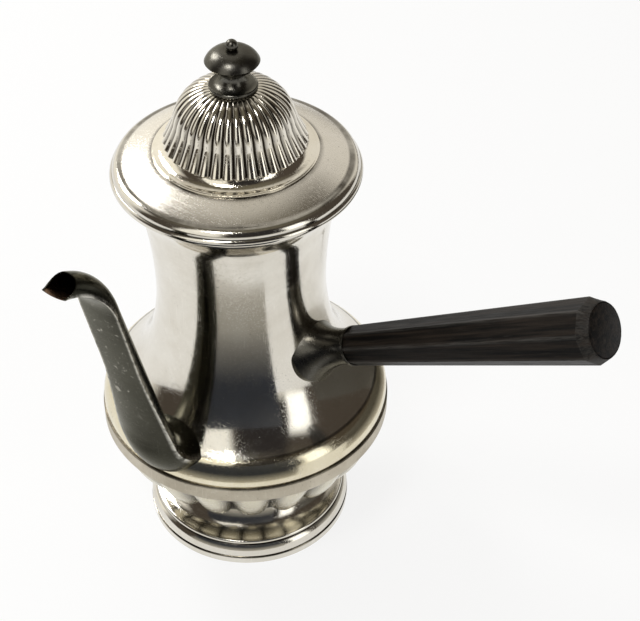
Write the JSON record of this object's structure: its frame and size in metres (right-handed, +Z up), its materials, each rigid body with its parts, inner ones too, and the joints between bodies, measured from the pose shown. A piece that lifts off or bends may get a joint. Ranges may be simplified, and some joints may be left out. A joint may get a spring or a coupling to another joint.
{
  "type": "coffee pot",
  "caption": "Silver-plated coffee pot with a gadrooned bowl, an S-shaped spout, a straight wooden side handle and a ribbed lid that lifts off.",
  "frame": {"origin": "centre of the foot, on the surface that it stands on", "axes": "+Z up along the pot's axis; +X towards the handle, which rises; -Y towards the spout"},
  "size_m": [0.2249, 0.1667, 0.2385],
  "materials": {
    "silver_plate": "polished, worn",
    "tarnished_plate": "dark, worn",
    "ebony": "satin",
    "plain_metal": "plain"
  },
  "bodies": {
    "pot": {"foot_ring": "silver_plate", "foot_pedestal": "silver_plate", "lower_bowl": "silver_plate", "belly_band": "silver_plate", "upper_body": "silver_plate", "mouth_ring": "silver_plate", "spout": "tarnished_plate", "handle_socket": "tarnished_plate", "handle_grip": "ebony", "handle_pin": "plain_metal"},
    "lid": {"lid_plate": "silver_plate", "lid_bezel": "silver_plate", "lid_dome": "silver_plate", "finial_stem": "tarnished_plate", "finial_knob": "tarnished_plate", "finial_stud": "tarnished_plate", "finial_washer": "plain_metal", "finial_nut": "plain_metal"}
  },
  "joints": [
    {"name": "lid_lift", "type": "slide", "parent": "pot", "child": "lid", "axis": [0, 0, 1], "range_m": [0, 0.04]}
  ]
}
